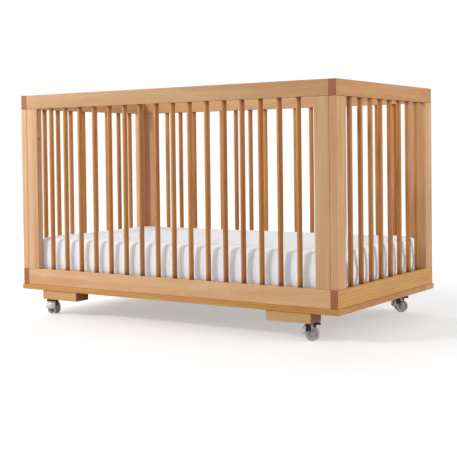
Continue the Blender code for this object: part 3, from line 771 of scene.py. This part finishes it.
def hoodShape(style):
    # A channel bent round above the wheels: an outer skin with a short flank down each side, closed at
    # both ends. Its section is a loop of (radius, sideways) points, carried through the arc.
    inner, outer, w = style["inner"], style["inner"] + style["thickness"], style["halfWidth"]
    t, ease, foot = style["thickness"], style["ease"], style["inner"] - style["flank"]
    side = np.array([
        (foot, w - t), (foot, w - ease), (foot + ease, w), (outer - 2 * ease, w), (outer, w - 2 * ease),
    ])
    section = np.concatenate([side, side[::-1] * (1, -1), [(inner, t - w), (inner, w - t)]])
    angle = np.radians(np.linspace(style["from"], style["to"], style["steps"] + 1))[:, None]
    points = np.stack([
        section[:, 0] * np.cos(angle), np.broadcast_to(section[:, 1], (len(angle), len(section))),
        section[:, 0] * np.sin(angle),
    ], -1).reshape(-1, 3)
    # each end is closed by two flanks and the skin between them
    caps = np.array([[0, 1, 4, 11], [1, 2, 3, 4], [11, 4, 5, 10], [5, 6, 7, 8], [5, 8, 9, 10]])
    faces = [gridFaces(len(angle), len(section)), caps[:, ::-1], caps + style["steps"] * len(section)]
    return points - (style["back"], 0, -style["lift"]), np.concatenate(faces)


housingStyle = {
    "back": -0.0165, "front": 0.001, "bottom": 0.033, "bridge": 0.0495, "top": 0.0562, "halfWidth": 0.0203,
    "cheek": 0.0019, "edge": 0.0004, "lap": 0.001,
}


def housingShape(style):
    # a bridge over both wheels with a cheek down the outside of each
    back, front, w = style["back"], style["front"], style["halfWidth"]
    inner, cheekTop = w - style["cheek"], style["bridge"] + style["lap"]
    boxes = [
        ((back, -w, style["bridge"]), (front, w, style["top"])),
        ((back, inner, style["bottom"]), (front, w, cheekTop)),
        ((back, -w, style["bottom"]), (front, -inner, cheekTop)),
    ]
    return joined([roundedBox(low, high, style["edge"], 2) for low, high in boxes])


for corner in ("front_right", "back_right", "front_left", "back_left"):
    body = corner + "_caster"
    origin, trail, across, axle = casterFrame(corner)
    plate = newMesh("plate", *plateShape(corner, plateStyle))
    plateName = corner + "_caster_plate"
    keepFlats(addPiece(corner + "_plate", plate, black, "crib_frame", [plateName]))
    local, quads = hoodShape(hoodStyle)
    hood = cleanMesh(newMesh("hood", placed(local, axle, trail, across), quads))
    addPiece(corner + "_hood", hood, frosted, body)
    local, quads = housingShape(housingStyle)
    housing = newMesh("housing", placed(local, origin, trail, across), quads)
    keepFlats(addPiece(corner + "_housing", housing, black, body))
    for side, sign in (("left", 1), ("right", -1)):
        # a wheel is made round Z: its axis becomes the axle, with its outer face outwards
        local, quads = wheelShape(wheelStyle)
        upright = np.stack([local[:, 0], sign * (local[:, 2] + wheelStyle["fromMiddle"]), local[:, 1]], -1)
        wheel = cleanMesh(newMesh("wheel", placed(upright, axle, trail, across), quads))
        wheelName = f"{corner}_{side}_wheel"
        addPiece(f"{corner}_{side}_clear_wheel", wheel, clear, wheelName, [wheelName])

for name, part in frame["nodes"].items():
    if name.endswith(("_fork", "_lever", "_axle", "_bolt")):
        part.data.materials.clear()
        part.data.materials.append(black if name.endswith(("_fork", "_lever")) else steel)
print("casters made")


# Floor, light and camera

studio = {
    "floorColour": srgb(210, 210, 210), "floorRoughness": 0.6, "floorGlow": 0.43, "farGlow": 0.80,
    "glowFrom": 1.0, "glowTo": 3.0, "floorSize": 14.0, "dome": 0.35, "backdrop": 1.02, "aim": (0, 0, 0.45),
}

# place, power and size of each softbox
softboxes = {
    "key": ((-2.2, -3.5, 2.8), 92.0, 0.6),
    "left": ((-4.0, -2.6, 1.6), 85.0, 2.6),
    "side": ((3.8, 0.3, 1.5), 66.0, 2.2),
    "back": ((-2.6, 2.2, 1.9), 48.0, 2.0),
    "top": ((0.0, 0.0, 3.4), 4.0, 2.4),
}
cameraStand = {
    "place": (2.2241, -3.2796, 0.6208), "turn": 33.86, "tilt": -1.28, "roll": -0.7, "lens": 80.883,
    "rise": -0.1171,
}


def addFloor():
    # the floor glows a little to the eye, and more further out, so that it runs into the backdrop
    points = np.array([[-1, -1, 0], [1, -1, 0], [1, 1, 0], [-1, 1, 0]]) * studio["floorSize"]
    material, tree, shader = newMaterial("floor", **{
        "Base Color": studio["floorColour"], "Roughness": studio["floorRoughness"],
        "Emission Color": (1.0, 1.0, 1.0, 1.0),
    })
    seen = node(tree, "LightPath").outputs["Is Camera Ray"]
    distance = vectorMaths(tree, "LENGTH", node(tree, "TexCoord").outputs["Object"])
    glow = fade(tree, distance, studio["glowFrom"], studio["glowTo"], studio["floorGlow"], studio["farGlow"])
    plug(tree, shader.inputs["Emission Strength"], maths(tree, "MULTIPLY", seen, glow))
    floor = bpy.data.objects.new("floor", newMesh("floor", points, np.array([[0, 1, 2, 3]])))
    floor.data.materials.append(material)
    bpy.context.scene.collection.objects.link(floor)


def addBackdrop():
    # plain white to the eye, while it lights the crib more dimly
    world = bpy.data.worlds.new("studio")
    world.use_nodes = True
    tree = world.node_tree
    background = tree.nodes["Background"].inputs
    eye = node(tree, "LightPath").outputs["Is Camera Ray"]
    plug(tree, background[0], (1.0, 1.0, 1.0, 1.0))
    plug(tree, background[1], fade(tree, eye, 0.0, 1.0, studio["dome"], studio["backdrop"]))
    bpy.context.scene.world = world


def addSoftbox(name, place, power, size):
    light = bpy.data.lights.new(name, "AREA")
    light.energy, light.size = power, size
    lamp = bpy.data.objects.new(name, light)
    lamp.location = place
    lamp.rotation_euler = (Vector(studio["aim"]) - Vector(place)).to_track_quat("-Z", "Y").to_euler()
    bpy.context.scene.collection.objects.link(lamp)


def addCamera(stand):
    lens = bpy.data.cameras.new("camera")
    lens.sensor_width, lens.lens, lens.shift_y = 36.0, stand["lens"], stand["rise"]
    camera = bpy.data.objects.new("camera", lens)
    camera.location = stand["place"]
    camera.rotation_euler = (math.radians(90 + stand["tilt"]), 0, math.radians(stand["turn"]))
    camera.rotation_euler.rotate_axis("Z", math.radians(stand["roll"]))
    bpy.context.scene.collection.objects.link(camera)
    bpy.context.scene.camera = camera


addFloor()
addBackdrop()
for name, (place, power, size) in softboxes.items():
    addSoftbox(name + " softbox", place, power, size)
addCamera(cameraStand)
bpy.context.scene.view_settings.view_transform = "Standard"
print("studio made")
